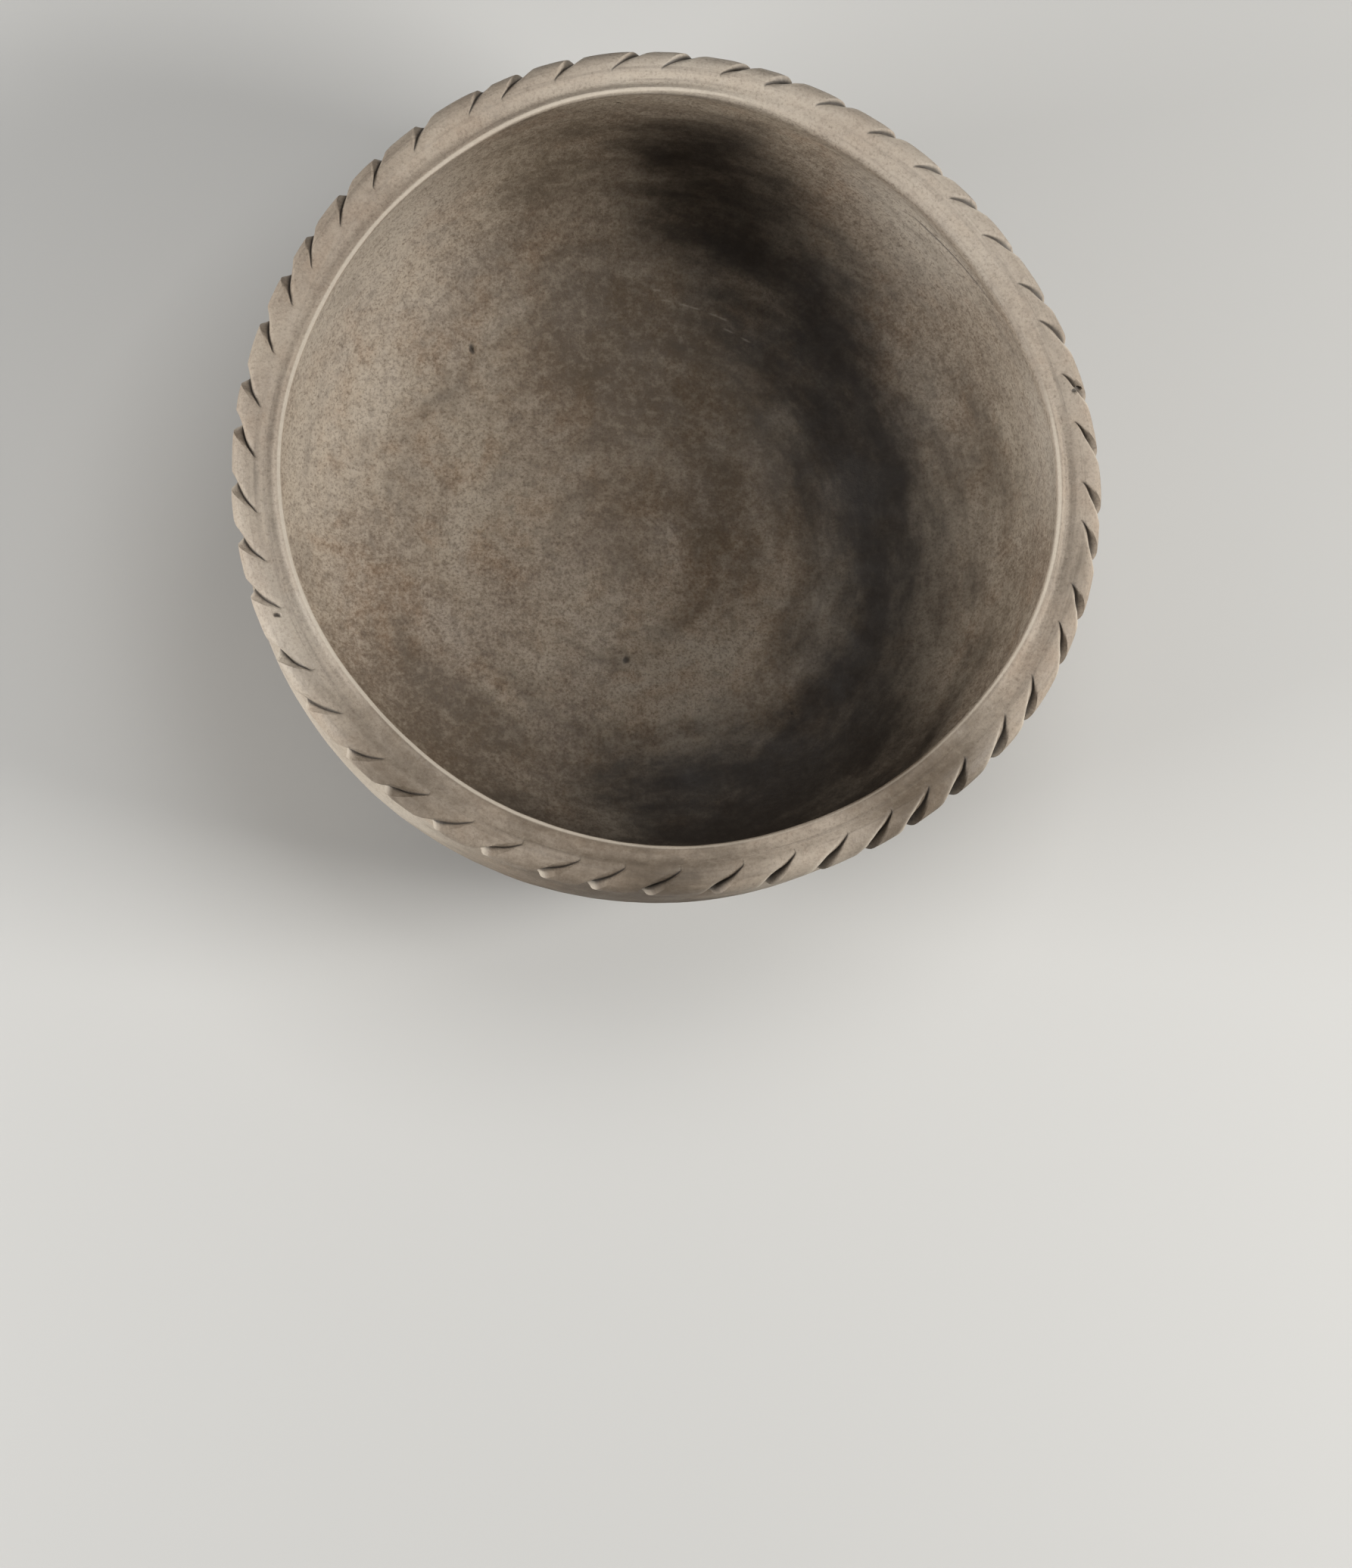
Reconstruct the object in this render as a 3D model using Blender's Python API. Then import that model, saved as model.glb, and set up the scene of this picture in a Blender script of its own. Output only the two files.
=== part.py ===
"""A hand-built bowl of low-fired clay: a flattened base, a full round body with nearly upright
walls, and a rolled rim that is notched all the way round like a twisted cord.

Metres, +Z up. The origin is the middle of the base, on the surface that the bowl stands on.
"""

import math
import random

import bmesh
import bpy

# Body
BELLY_DIAMETER = 0.2914     # widest place of the wall
BELLY_HEIGHT = 0.084        # from the base up to that place
BASE_DIAMETER = 0.090       # the flattened patch underneath, and the flat of the floor over it
UPPER_WALL = 0.0282         # from the belly up to the crest of the rim
WALL = 0.0070
FLOOR = 0.0080
CORNER_FLAT = 3.3           # how long the underside stays flat before it turns up, 2 is an ellipse
CORNER_STEEP = 2.27         # how early the side stands upright, 2 is an ellipse

# Rolled rim
ROLL_RADIUS = 0.0065        # the clay roll along the outside of the rim
ROLL_REACH = 0.0068         # it stands out this far from the belly
ROLL_START = -68            # where its underside leaves the wall, in degrees from its outer side
NECK_GAP = 0.0022           # height of the hollow curve from the wall to the roll's underside
BAND_DEPTH = 0.0010         # level band between the roll and the inner lip
LIP_WIDTH = 0.0024          # thin raised edge along the inside of the rim
LIP_DROP = 0.0004           # the lip lies this much below the crest of the roll
LIP_REACH = 0.0046          # and leans in this much over the inside of the wall

# Notches across the roll
NOTCH_COUNT = 48
NOTCH_DEPTH = 0.0033
NOTCH_RUN = 0.0122          # how far a notch travels round the rim as it climbs over the roll
NOTCH_CURL = 1.70           # it leans more towards its upper end, 1 is an even lean
NOTCH_GENTLE = 0.0052       # width of the side that slopes
NOTCH_STEEP = 0.0024        # width of the side that stands up
NOTCH_END = 0.30            # share of the depth at either end of a notch
NOTCH_RISE = 0.30           # share of the climb in which it reaches its full depth
NOTCH_STRAY = 0.0030        # how far a notch may be from an even spacing
NOTCH_SEED = 11
PILLOW = 0.14               # share of the depth that the edges of a lobe already sink

# Waves left by building by hand: times round, size at the rim, direction of the first crest
RIM_LIFT = ((1, 0.0022, 23), (2, 0.0007, 113), (3, 0.0006, 61))
OUT_OF_ROUND = ((1, 0.0012, 180), (2, 0.0010, 32), (3, 0.0015, 101), (4, 0.0006, 2))
LIP_WANDER = ((1, 0.0004, 90), (4, 0.0008, 0))

# Facets
BODY_COLUMNS = 60
BODY_ROWS = 12
ROLL_ROWS = 6
LOBE_COLUMNS = 2            # columns over a lobe, beside the three of each notch

CLAY_COLOUR = (0.216, 0.165, 0.120, 1.0)
CLAY_ROUGHNESS = 0.82
SHARP_EDGE = 40             # degrees

# Worked out from the sizes above
RIM_HEIGHT = BELLY_HEIGHT + UPPER_WALL
RIM_RADIUS = BELLY_DIAMETER / 2 + ROLL_REACH
ROLL_CENTRE = RIM_RADIUS - ROLL_RADIUS
ROLL_LEVEL = RIM_HEIGHT - ROLL_RADIUS
ROLL_UNDERSIDE = ROLL_LEVEL + ROLL_RADIUS * math.sin(math.radians(ROLL_START))


def clear_scene():
    for item in list(bpy.data.objects):
        bpy.data.objects.remove(item, do_unlink=True)


def clay():
    material = bpy.data.materials.new("fired_clay")
    material.use_nodes = True
    shader = material.node_tree.nodes["Principled BSDF"]
    shader.inputs["Base Color"].default_value = CLAY_COLOUR
    shader.inputs["Roughness"].default_value = CLAY_ROUGHNESS
    shader.inputs["Metallic"].default_value = 0.0
    return material


def wave(harmonics, angle):
    """Sum of slow waves at an angle round the bowl."""
    return sum(size * math.cos(times * (angle - math.radians(crest)))
               for times, size, crest in harmonics)


def hand_built(radius, angle, height):
    """Place of a point of the turned shape once the clay has moved: still up to the floor, full
    at the rim."""
    share = max(0.0, min(1.0, (height - FLOOR) / (RIM_HEIGHT - FLOOR)))
    pushed = radius + wave(OUT_OF_ROUND, angle) * share
    lifted = height + wave(RIM_LIFT, angle) * share ** 2
    return (pushed * math.cos(angle), pushed * math.sin(angle), lifted)


def body_profile(belly_radius, low):
    """One side of the wall from the flat of the base to the belly, as radius and height: a
    quarter of a superellipse, flat below, with a full corner, upright above."""
    base_radius = BASE_DIAMETER / 2
    profile = []
    for row in range(BODY_ROWS + 1):
        turn = math.pi / 2 * row / BODY_ROWS
        out = math.sin(turn) ** (2 / CORNER_FLAT)
        up = 1 - max(0.0, math.cos(turn)) ** (2 / CORNER_STEEP)
        profile.append((base_radius + (belly_radius - base_radius) * out,
                        low + (BELLY_HEIGHT - low) * up))
    return profile


def notch_depth(climb):
    """Share of the full depth along a notch: shallow where it starts and ends."""
    risen = min(1.0, climb / NOTCH_RISE, (1 - climb) / NOTCH_RISE)
    return NOTCH_END + (1 - NOTCH_END) * risen


def rim_profile():
    """The rim from the underside of the roll to the inside of the lip. Each row has its radius
    and height, then its shares of the lip's wander, of a notch's run and of a notch's depth."""
    start = math.radians(ROLL_START)
    inside = BELLY_DIAMETER / 2 - WALL - LIP_REACH
    lip_outer = inside + LIP_WIDTH
    lip_level = RIM_HEIGHT - LIP_DROP
    under_radius = (BELLY_DIAMETER / 2 + ROLL_CENTRE + ROLL_RADIUS * math.cos(start)) / 2
    furrow_radius = ROLL_CENTRE - math.sqrt(ROLL_RADIUS ** 2 - (ROLL_RADIUS - BAND_DEPTH) ** 2)
    rows = [(under_radius, ROLL_UNDERSIDE - NECK_GAP / 4, 0.0, 0.0, 0.0)]
    for row in range(ROLL_ROWS):
        climb = row / (ROLL_ROWS - 1)
        turn = start + (math.pi / 2 - start) * climb
        rows.append((ROLL_CENTRE + ROLL_RADIUS * math.cos(turn),
                     ROLL_LEVEL + ROLL_RADIUS * math.sin(turn),
                     0.0, climb ** NOTCH_CURL, notch_depth(climb)))
    rows += [
        (furrow_radius, RIM_HEIGHT - BAND_DEPTH, 0.2, 1.0, 0.0),
        (lip_outer, lip_level - LIP_WIDTH / 4, 1.0, 1.0, 0.0),
        (inside + LIP_WIDTH / 2, lip_level, 1.0, 1.0, 0.0),
        (inside, lip_level - LIP_WIDTH / 2, 1.0, 1.0, 0.0),
        (inside + LIP_REACH / 3, lip_level - 2 * LIP_WIDTH, 0.6, 1.0, 0.0),
    ]
    return rows


def notch_angles(pitch, stray):
    """Where each notch starts, nearly evenly spaced, as a hand does it."""
    draw = random.Random(NOTCH_SEED)
    return [(number + 0.5) * pitch + draw.uniform(-stray, stray) for number in range(NOTCH_COUNT)]


def notch_columns():
    """Angle and share of the notch depth for each column of the rim: a notch's sloping edge, its
    bottom and its steep edge, then the lobe up to the next notch."""
    gentle = NOTCH_GENTLE / RIM_RADIUS
    steep = NOTCH_STEEP / RIM_RADIUS
    pitch = 2 * math.pi / NOTCH_COUNT
    room = pitch - gentle - steep
    starts = notch_angles(pitch, min(NOTCH_STRAY / RIM_RADIUS, room / 3))
    columns = []
    for number, start in enumerate(starts):
        following = starts[(number + 1) % NOTCH_COUNT]
        if following < start:
            following += 2 * math.pi
        columns += [(start - gentle, PILLOW), (start, 1.0), (start + steep, PILLOW)]
        lobe = following - gentle - start - steep
        for part in range(1, LOBE_COLUMNS + 1):
            columns.append((start + steep + lobe * part / (LOBE_COLUMNS + 1), 0.0))
    return columns


def plain_ring(mesh, radius, height, turned):
    """A ring of the body, with its columns evenly spaced."""
    ring = []
    for column in range(BODY_COLUMNS):
        angle = turned + 2 * math.pi * column / BODY_COLUMNS
        ring.append(mesh.verts.new(hand_built(radius, angle, height)))
    return ring


def notched_ring(mesh, columns, radius, height, wander, run, depth):
    """A ring of the rim. Its columns lean with the notches, and each sinks towards the middle of
    the roll by its share of the notch depth."""
    ring = []
    for angle, share in columns:
        sunk = NOTCH_DEPTH * depth * share / ROLL_RADIUS
        leant = angle + run * NOTCH_RUN / RIM_RADIUS
        cut_radius = radius + (ROLL_CENTRE - radius) * sunk + wander * wave(LIP_WANDER, leant)
        cut_height = height + (ROLL_LEVEL - height) * sunk
        ring.append(mesh.verts.new(hand_built(cut_radius, leant, cut_height)))
    return ring


def join_rings(mesh, lower, upper):
    """Faces between two rings. Where their numbers of columns differ, the one that is behind
    steps on, so neither runs ahead of the other."""
    if len(lower) == len(upper):
        for column in range(len(lower)):
            following = (column + 1) % len(lower)
            mesh.faces.new((lower[column], lower[following], upper[following], upper[column]))
        return
    low = high = 0
    while low < len(lower) or high < len(upper):
        here = lower[low % len(lower)]
        there = upper[high % len(upper)]
        if (low + 0.5) / len(lower) < (high + 0.5) / len(upper):
            low += 1
            mesh.faces.new((here, lower[low % len(lower)], there))
        else:
            high += 1
            mesh.faces.new((here, upper[high % len(upper)], there))


def build_bowl():
    outside = body_profile(BELLY_DIAMETER / 2, 0.0)
    outside.append((BELLY_DIAMETER / 2, ROLL_UNDERSIDE - NECK_GAP))
    inside = body_profile(BELLY_DIAMETER / 2 - WALL, FLOOR)
    columns = notch_columns()
    turned = columns[0][0]
    turned_inside = turned + NOTCH_RUN / RIM_RADIUS

    mesh = bmesh.new()
    rings = [plain_ring(mesh, radius, height, turned) for radius, height in outside]
    rings += [notched_ring(mesh, columns, *row) for row in rim_profile()]
    rings += [plain_ring(mesh, radius, height, turned_inside)
              for radius, height in reversed(inside)]
    for lower, upper in zip(rings, rings[1:]):
        join_rings(mesh, lower, upper)
    mesh.faces.new(rings[0])
    mesh.faces.new(rings[-1])
    bmesh.ops.recalc_face_normals(mesh, faces=mesh.faces)

    data = bpy.data.meshes.new("bowl")
    mesh.to_mesh(data)
    mesh.free()
    data.shade_smooth()
    data.set_sharp_from_angle(angle=math.radians(SHARP_EDGE))
    data.materials.append(clay())
    bowl = bpy.data.objects.new("bowl", data)
    bpy.context.collection.objects.link(bowl)


clear_scene()
build_bowl()
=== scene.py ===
import math
import random

import bmesh
import bpy
import numpy as np
from mathutils import Matrix, Vector, noise


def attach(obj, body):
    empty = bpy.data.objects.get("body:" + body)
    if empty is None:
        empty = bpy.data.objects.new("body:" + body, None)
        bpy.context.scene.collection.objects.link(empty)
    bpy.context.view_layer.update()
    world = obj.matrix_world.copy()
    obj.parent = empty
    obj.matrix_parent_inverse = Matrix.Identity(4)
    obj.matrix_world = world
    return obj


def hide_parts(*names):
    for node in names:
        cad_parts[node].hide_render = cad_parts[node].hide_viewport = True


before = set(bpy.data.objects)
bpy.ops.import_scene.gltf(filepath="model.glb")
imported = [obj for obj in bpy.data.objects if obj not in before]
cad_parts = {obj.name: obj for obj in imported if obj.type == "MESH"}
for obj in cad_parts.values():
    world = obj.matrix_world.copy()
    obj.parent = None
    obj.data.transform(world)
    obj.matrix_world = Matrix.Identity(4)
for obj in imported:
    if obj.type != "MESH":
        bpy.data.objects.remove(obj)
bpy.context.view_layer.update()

fullTurn = 2 * math.pi


# Sizes of the bowl in metres, the same as the solid's, and what only the fine surface has
bowlShape = {
    "bellyRadius": 0.1457,
    "bellyHeight": 0.084,
    "baseRadius": 0.045,
    "upperWall": 0.0282,
    "wall": 0.0070,
    "floor": 0.0080,
    "cornerFlat": 3.3,          # how long the base stays flat before it turns up, 2 is an ellipse
    "cornerSteep": 2.27,        # how early the side stands upright, 2 is an ellipse
    "rollRadius": 0.0065,
    "rollReach": 0.0068,
    "rollStart": -68,           # degrees from the roll's outer side, where the notches start
    "rollFoot": -79,            # and where the roll meets the wall
    "bandDepth": 0.0010,        # the level band inside the roll lies this much lower
    # waves left by building by hand: times round, size, degrees from +X of the first crest
    "rimLift": ((1, 0.0022, 23), (2, 0.0007, 113), (3, 0.0006, 61)),
    "outOfRound": ((1, 0.0012, 180), (2, 0.0010, 32), (3, 0.0015, 101), (4, 0.0006, 2)),
    "lipWander": ((1, 0.0004, 90), (4, 0.0008, 0), (7, 0.0002, 40), (11, 0.00015, 10)),
    "skin": 0.00025,            # the fine surface starts this much inside the solid
    "wallPoints": 1500,         # along the wall's curve, before its rings are spaced evenly
    "neckPoints": 200,          # the same for the crease under the roll
    "bodySpacing": 0.0031,      # between rings of the body
    "rollSpacing": 0.0008,
    "bandSpacing": 0.00085,
    "throatSpacing": 0.0008,    # on the inside of the wall under the lip
    "throatStart": 0.0062,      # under the crest of the rim
    "throatColumns": 432,
    "innermostRing": 0.004,     # radius of the ring round the middle of the base and the floor
    # from each radius outwards, how many columns a ring has
    "bodyColumns": ((0.105, 320), (0.050, 160), (0.024, 80), (0.011, 40), (0.0, 20)),
    "rimFade": 0.004,           # the rim's own finish fades out this far under the roll
    "lipStarts": (0.0060, 0.0068),  # in from the furrow, where the pale top of the lip begins: a painted highlight with some rubbing
    "lipEnds": (0.0006, 0.0016),    # under the crest, where it ends
    "insideFrom": (0.0005, 0.0060),     # under the crest, where the inside's finish begins
    "rimUntil": (0.0015, 0.0090),       # and where the rim's ends
    "bandClimb": 1.3,           # the band lies beyond the notches' upper ends, which are at 1
    "sharpEdge": 30,            # degrees
}

# Across the band and the lip, down to the belly inside: distance in from the furrow and height
# under the crest in millimetres, then the share of the lip's wander
crispLip = (
    (0.0, 1.00, 0.2), (0.7, 1.40, 0.25), (2.3, 2.00, 0.45), (3.8, 2.15, 0.8), (4.9, 1.75, 1.0),
    (5.6, 1.05, 1.0), (6.4, 0.62, 1.0), (7.3, 0.55, 1.0), (8.0, 0.95, 1.0), (8.4, 1.90, 0.95),
    (8.2, 3.50, 0.85), (7.2, 5.80, 0.6), (5.8, 8.90, 0.4), (4.7, 13.2, 0.2), (3.83, 28.2, 0.0),
)
# the same where the potter wiped the lip down and it has no edge
wipedLip = (
    (0.0, 1.00, 0.2), (0.7, 1.30, 0.25), (2.4, 1.50, 0.45), (4.2, 1.85, 0.7), (5.4, 2.40, 0.8),
    (6.3, 3.10, 0.8), (6.9, 4.00, 0.8), (7.2, 5.00, 0.8), (7.2, 6.40, 0.7), (6.9, 8.40, 0.5),
    (6.2, 11.0, 0.3), (5.1, 14.8, 0.15), (4.2, 20.5, 0.1), (3.83, 28.2, 0.0),
)
# where it is wiped: the middle, half of the length and the fade in degrees, and how much
wipedStretches = ((48, 34, 14, 1.0), (298, 34, 26, 0.55))

# A line scored round the inside of the wall: degrees from +X and height in millimetres. The mark
# that it leaves is in metres, with the fade at its ends in degrees.
scoredLine = ((-30, 108.6), (-6, 107.6), (6, 106.6), (14, 104.4), (22, 100.0), (28, 95.0),
              (34, 90.8), (44, 88.0), (52, 86.4))
scoreMark = {"width": 0.0011, "depth": 0.0009, "burr": 0.4, "burrAway": 0.0022, "fade": 7}

notchShape = {
    "count": 48,
    "depth": 0.0036,
    "unevenDepth": 0.22,        # notches differ by this share
    "run": 0.0122,              # a notch travels this far round the rim as it climbs the roll
    "curl": 1.70,
    "gentle": 0.0054,           # width of the side that slopes
    "steep": 0.0021,            # width of the side that stands up
    "parts": (3, 9, 6),         # columns over a steep side, a lobe and a gentle side
    "stray": 0.0030,            # how far a notch may be from an even spacing
    "gentleEdge": 0.0052,       # the solid's own widths, which limit that
    "steepEdge": 0.0024,
    "seed": 11,
    "leanVaries": (0.86, 1.12),
    "gentleVaries": (0.78, 1.16),
    "steepVaries": (0.80, 1.20),
    "firmness": (0.92, 0.16, 300),      # the potter's hand: middle, swing, and the firm side
    "endWidth": 0.22,           # share of its width that a notch has at its ends
    "pillow": 0.15,             # share of the depth that a lobe sinks towards its edges
    "slope": 0.00045,           # a lobe lies this much lower at the end where it runs out
    "unevenness": 0.00040,      # lobes differ this much in height
    "gentlePower": 0.85,        # under 1 a side leaves the lobe with an edge
    "steepPower": 0.75,
    "waver": 0.10,              # share of its width that a cut edge wavers by
    "waverTurns": 6,            # radians of that over the climb
    "opens": (-0.12, 0.20),     # where along the climb a notch starts and reaches its depth
    "closes": (0.62, 1.32),     # where it starts to run out and ends
    "lobeOpens": (-0.05, 0.12),     # the same for the swell of a lobe
    "lobeCloses": (1.0, 1.2),
    "runEnds": 1.1,             # along the climb, where a notch stops leaning on
    "darkNarrows": (0.35, 0.80),    # low down painted shade, with some dirt, covers a gentle side, and above only its foot
    "darkPower": (0.25, 2.9),       # powers of the slope: low down, and how much more above
    "darkDepth": (0.05, 0.40),      # share of the depth at which the painted shade and dirt begin, and are full
    "wearSheen": 0.0020,           # width of the pale edge of a lobe: a painted highlight with some rubbing
    "sheenFrom": -0.7,         # it begins this many of those widths inside the cut
    "sheenLow": (0.25, 0.62),      # along the climb, where the steep edges' painted highlight fades out
    "steepSheen": 0.75,        # share of the painted highlight that they have
    "changeSide": 4,            # degrees from +X, the middle of the half where the painted shade and painted highlight swap sides, following the side lights
    "changeFade": 0.25,         # how gradually, in the cosine of the degrees from there
}


def wave(harmonics, angle):
    return sum(size * np.cos(times * (angle - math.radians(crest)))
               for times, size, crest in harmonics)


def smooth(low, high, value):
    share = np.clip((value - low) / (high - low), 0.0, 1.0)
    return share * share * (3 - 2 * share)


def degreesFrom(angle, middle):
    # how far round an angle is from a side given in degrees, either way
    return (np.degrees(angle) - middle + 180) % 360 - 180


def resample(points, spacing=None, steps=None):
    # points along a line, evenly spaced along its length
    points = np.array(points, float)
    length = np.concatenate(([0.0], np.cumsum(np.hypot(*np.diff(points[:, :2], axis=0).T))))
    steps = steps or max(2, round(length[-1] / spacing))
    wanted = np.linspace(0.0, length[-1], steps + 1)
    return np.stack([np.interp(wanted, length, column) for column in points.T], axis=1)


def curveThrough(points, steps=12):
    # a smooth curve through a few points
    points = np.array([points[0], *points, points[-1]], float)
    curve = []
    for before, start, end, after in zip(points, points[1:], points[2:], points[3:]):
        for step in range(steps):
            t = step / steps
            curve.append(0.5 * (2 * start + (end - before) * t
                                + (2 * before - 5 * start + 4 * end - after) * t ** 2
                                + (3 * start - before - 3 * end + after) * t ** 3))
    curve.append(points[-1])
    return np.array(curve)


def wallQuarter(bellyRadius, low):
    # from the flat of the base to the belly, a quarter of a superellipse
    turn = np.linspace(0.0, math.pi / 2, bowlShape["wallPoints"])
    out = np.sin(turn) ** (2 / bowlShape["cornerFlat"])
    up = 1 - np.maximum(np.cos(turn), 0.0) ** (2 / bowlShape["cornerSteep"])
    base = bowlShape["baseRadius"]
    return np.stack([base + (bellyRadius - base) * out,
                     low + (bowlShape["bellyHeight"] - low) * up], axis=1)


def columnsAt(radius):
    return next(count for least, count in bowlShape["bodyColumns"] if radius >= least)


def bodyRows(bellyRadius, low, inside):
    # rings of the flat and of the wall up to the belly
    spacing = bowlShape["bodySpacing"]
    flat = resample([(bowlShape["innermostRing"], low), (bowlShape["baseRadius"], low)], spacing)
    wall = resample(wallQuarter(bellyRadius, low), spacing)
    return [{"radius": radius, "height": height, "columns": columnsAt(radius), "inside": inside}
            for radius, height in [*flat, *wall[1:]]]


def rollRows(rollCentre, rollLevel):
    # from the belly up the wall, through the crease under the roll and over it to the furrow
    shape = bowlShape
    size, spacing = shape["rollRadius"], shape["rollSpacing"]
    start, foot = math.radians(shape["rollStart"]), math.radians(shape["rollFoot"])
    climbs = math.pi / 2 - start
    end = math.pi / 2 + math.acos(1 - shape["bandDepth"] / size)
    footPoint = np.array((rollCentre + size * math.cos(foot), rollLevel + size * math.sin(foot)))
    outward = np.array((-math.sin(foot), math.cos(foot)))
    crease = footPoint - outward * (footPoint[0] - shape["bellyRadius"]) / outward[0]
    below = crease - np.array((0.0, np.linalg.norm(footPoint - crease)))
    upright = resample([(shape["bellyRadius"], shape["bellyHeight"]), below],
                       shape["bodySpacing"])
    rows = [{"radius": radius, "height": height, "columns": columnsAt(radius), "inside": 0.0}
            for radius, height in upright[1:-1]]
    t = np.linspace(0.0, 1.0, shape["neckPoints"])[:, None]
    neck = resample((1 - t) ** 2 * below + 2 * t * (1 - t) * crease + t ** 2 * footPoint, spacing)
    for point in neck[:-1]:
        gap = np.linalg.norm(point - footPoint)
        rows.append({"radius": point[0], "height": point[1], "columns": "rim", "inside": 0.0,
                     "climb": (foot - start - gap / size) / climbs,
                     "rim": max(0.0, 1 - gap / shape["rimFade"])})
    for turn in np.linspace(foot, end, round(size * (end - foot) / spacing)):
        rows.append({"radius": rollCentre + size * math.cos(turn),
                     "height": rollLevel + size * math.sin(turn), "columns": "rim",
                     "climb": (turn - start) / climbs, "inside": 0.0, "rim": 1.0})
    return rows


def lipRows(furrow, rimHeight):
    # across the band, over the lip and down to the belly inside, with the wiped lip's points beside
    shape = bowlShape
    crisp, wiped = (curveThrough(points) * (0.001, 0.001, 1.0) for points in (crispLip, wipedLip))
    rows = []
    # the rings keep the notches' columns down to the throat, and have fewer from there
    splits = [int(np.argmax(line[:, 1] > shape["throatStart"])) for line in (crisp, wiped)]
    for first, spacing, columns in ((True, shape["bandSpacing"], "rim"),
                                    (False, shape["throatSpacing"], shape["throatColumns"])):
        parts = [line[:split + 1] if first else line[split:]
                 for line, split in zip((crisp, wiped), splits)]
        points = resample(parts[0], spacing)
        beside = resample(parts[1], steps=len(points) - 1)
        for point, wipedPoint in zip(points[1:], beside[1:]):
            reach, drop, wander = point
            wipedReach, wipedDrop, wipedWander = wipedPoint
            onLip = smooth(*shape["lipStarts"], reach) * (1 - smooth(*shape["lipEnds"], drop))
            rows.append({
                "radius": furrow - reach, "height": rimHeight - drop, "columns": columns,
                "wander": wander, "climb": shape["bandClimb"], "wearAndHighlight": onLip,
                "inside": smooth(*shape["insideFrom"], drop) if first else 1.0,
                "rim": 1 - smooth(*shape["rimUntil"], drop),
                "wiped": (furrow - wipedReach, rimHeight - wipedDrop, wipedWander)})
    return rows


def notchGrid():
    # the columns of the rim, close together where a notch is steep
    shape = notchShape
    rimRadius = bowlShape["bellyRadius"] + bowlShape["rollReach"]
    pitch = fullTurn / shape["count"]
    room = pitch - (shape["gentleEdge"] + shape["steepEdge"]) / rimRadius
    stray = min(shape["stray"] / rimRadius, room / 3)
    draw = random.Random(shape["seed"])
    starts = [(number + 0.5) * pitch + draw.uniform(-stray, stray)
              for number in range(shape["count"])]
    own = []
    middle, swing, firmSide = shape["firmness"]
    for start in starts:
        firm = middle + swing * math.cos(start - math.radians(firmSide))
        own.append({"depth": firm + draw.uniform(-shape["unevenDepth"], shape["unevenDepth"]),
                    "lean": draw.uniform(*shape["leanVaries"]),
                    "gentle": shape["gentle"] * draw.uniform(*shape["gentleVaries"]),
                    "steep": shape["steep"] * draw.uniform(*shape["steepVaries"]),
                    "drop": draw.uniform(0.0, shape["unevenness"]),
                    "phase": draw.uniform(0.0, fullTurn)})
    steepParts, lobeParts, gentleParts = shape["parts"]
    columns = []
    for number, start in enumerate(starts):
        here, there = own[number], own[(number + 1) % shape["count"]]
        following = starts[(number + 1) % shape["count"]]
        gap = ((following - start) % fullTurn) * rimRadius
        lobe = gap - there["gentle"] - here["steep"]
        marks = [here["steep"] * part / steepParts for part in range(steepParts + 1)]
        marks += [here["steep"] + lobe * part / lobeParts for part in range(1, lobeParts)]
        marks += [gap - there["gentle"] * (1 - part / gentleParts) for part in range(gentleParts)]
        for mark in marks:
            share = mark / gap
            columns.append({
                "angle": start + mark / rimRadius, "fromLast": mark, "toNext": gap - mark,
                "share": share, "lean": here["lean"] + (there["lean"] - here["lean"]) * share,
                "steep": here["steep"], "gentle": there["gentle"], "lastDepth": here["depth"],
                "nextDepth": there["depth"], "drop": here["drop"], "phase": there["phase"]})
    return {name: np.array([column[name] for column in columns]) for name in columns[0]}


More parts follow.
